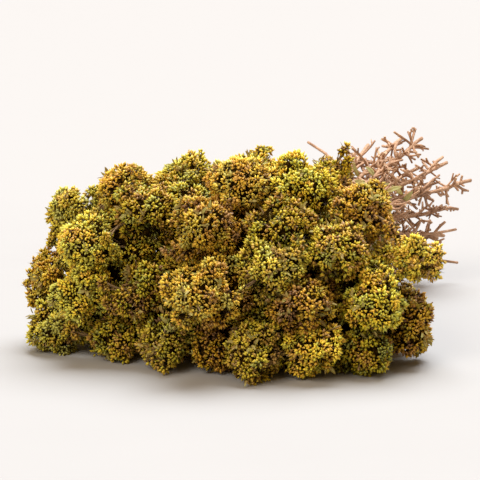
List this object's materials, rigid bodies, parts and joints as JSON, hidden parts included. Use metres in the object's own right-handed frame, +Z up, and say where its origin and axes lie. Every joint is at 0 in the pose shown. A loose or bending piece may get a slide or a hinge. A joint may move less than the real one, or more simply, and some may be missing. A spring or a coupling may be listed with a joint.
{
  "type": "dried oregano bunch",
  "caption": "Dried wild oregano bunch lying on its side: a dense mound of tiny spikelets on woody stems bound with twine, the cut ends fanned out behind; a herb for display.",
  "frame": {"origin": "middle of the footprint, on the surface the bunch lies on", "axes": "+Y from the flower heads to the cut ends of the stems, +Z up, +X across the bunch"},
  "size_m": [0.2548, 0.3492, 0.1167],
  "materials": {
    "woody_stem": "matt dry bark",
    "flower_golden": "matt dry bracts, golden",
    "flower_olive": "matt dry bracts, olive",
    "flower_russet": "matt dry bracts, russet brown",
    "flower_green": "matt dry bracts, grey green",
    "twine": "matt twisted natural fibre"
  },
  "bodies": {
    "root": {"stem_01": "woody_stem", "spray_01": "flower_green", "stem_02": "woody_stem", "spray_02": "flower_olive", "stem_03": "woody_stem", "spray_03": "flower_green", "stem_04": "woody_stem", "spray_04": "flower_russet", "stem_05": "woody_stem", "spray_05": "flower_green", "stem_06": "woody_stem", "spray_06": "flower_golden", "stem_07": "woody_stem", "spray_07": "flower_olive", "stem_08": "woody_stem", "spray_08": "flower_russet", "stem_09": "woody_stem", "spray_09": "flower_russet", "stem_10": "woody_stem", "spray_10": "flower_golden", "stem_11": "woody_stem", "spray_11": "flower_olive", "stem_12": "woody_stem", "spray_12": "flower_russet", "stem_13": "woody_stem", "spray_13": "flower_russet", "stem_14": "woody_stem", "spray_14": "flower_golden", "stem_15": "woody_stem", "spray_15": "flower_golden", "stem_16": "woody_stem", "spray_16": "flower_green", "stem_17": "woody_stem", "spray_17": "flower_olive", "stem_18": "woody_stem", "spray_18": "flower_olive", "stem_19": "woody_stem", "spray_19": "flower_green", "stem_20": "woody_stem", "spray_20": "flower_olive", "stem_21": "woody_stem", "spray_21": "flower_russet", "stem_22": "woody_stem", "spray_22": "flower_olive", "stem_23": "woody_stem", "spray_23": "flower_russet", "stem_24": "woody_stem", "spray_24": "flower_russet", "stem_25": "woody_stem", "spray_25": "flower_russet", "stem_26": "woody_stem", "spray_26": "flower_golden", "stem_27": "woody_stem", "spray_27": "flower_green", "stem_28": "woody_stem", "spray_28": "flower_olive", "stem_29": "woody_stem", "spray_29": "flower_golden", "tie": "twine"}
  },
  "joints": []
}
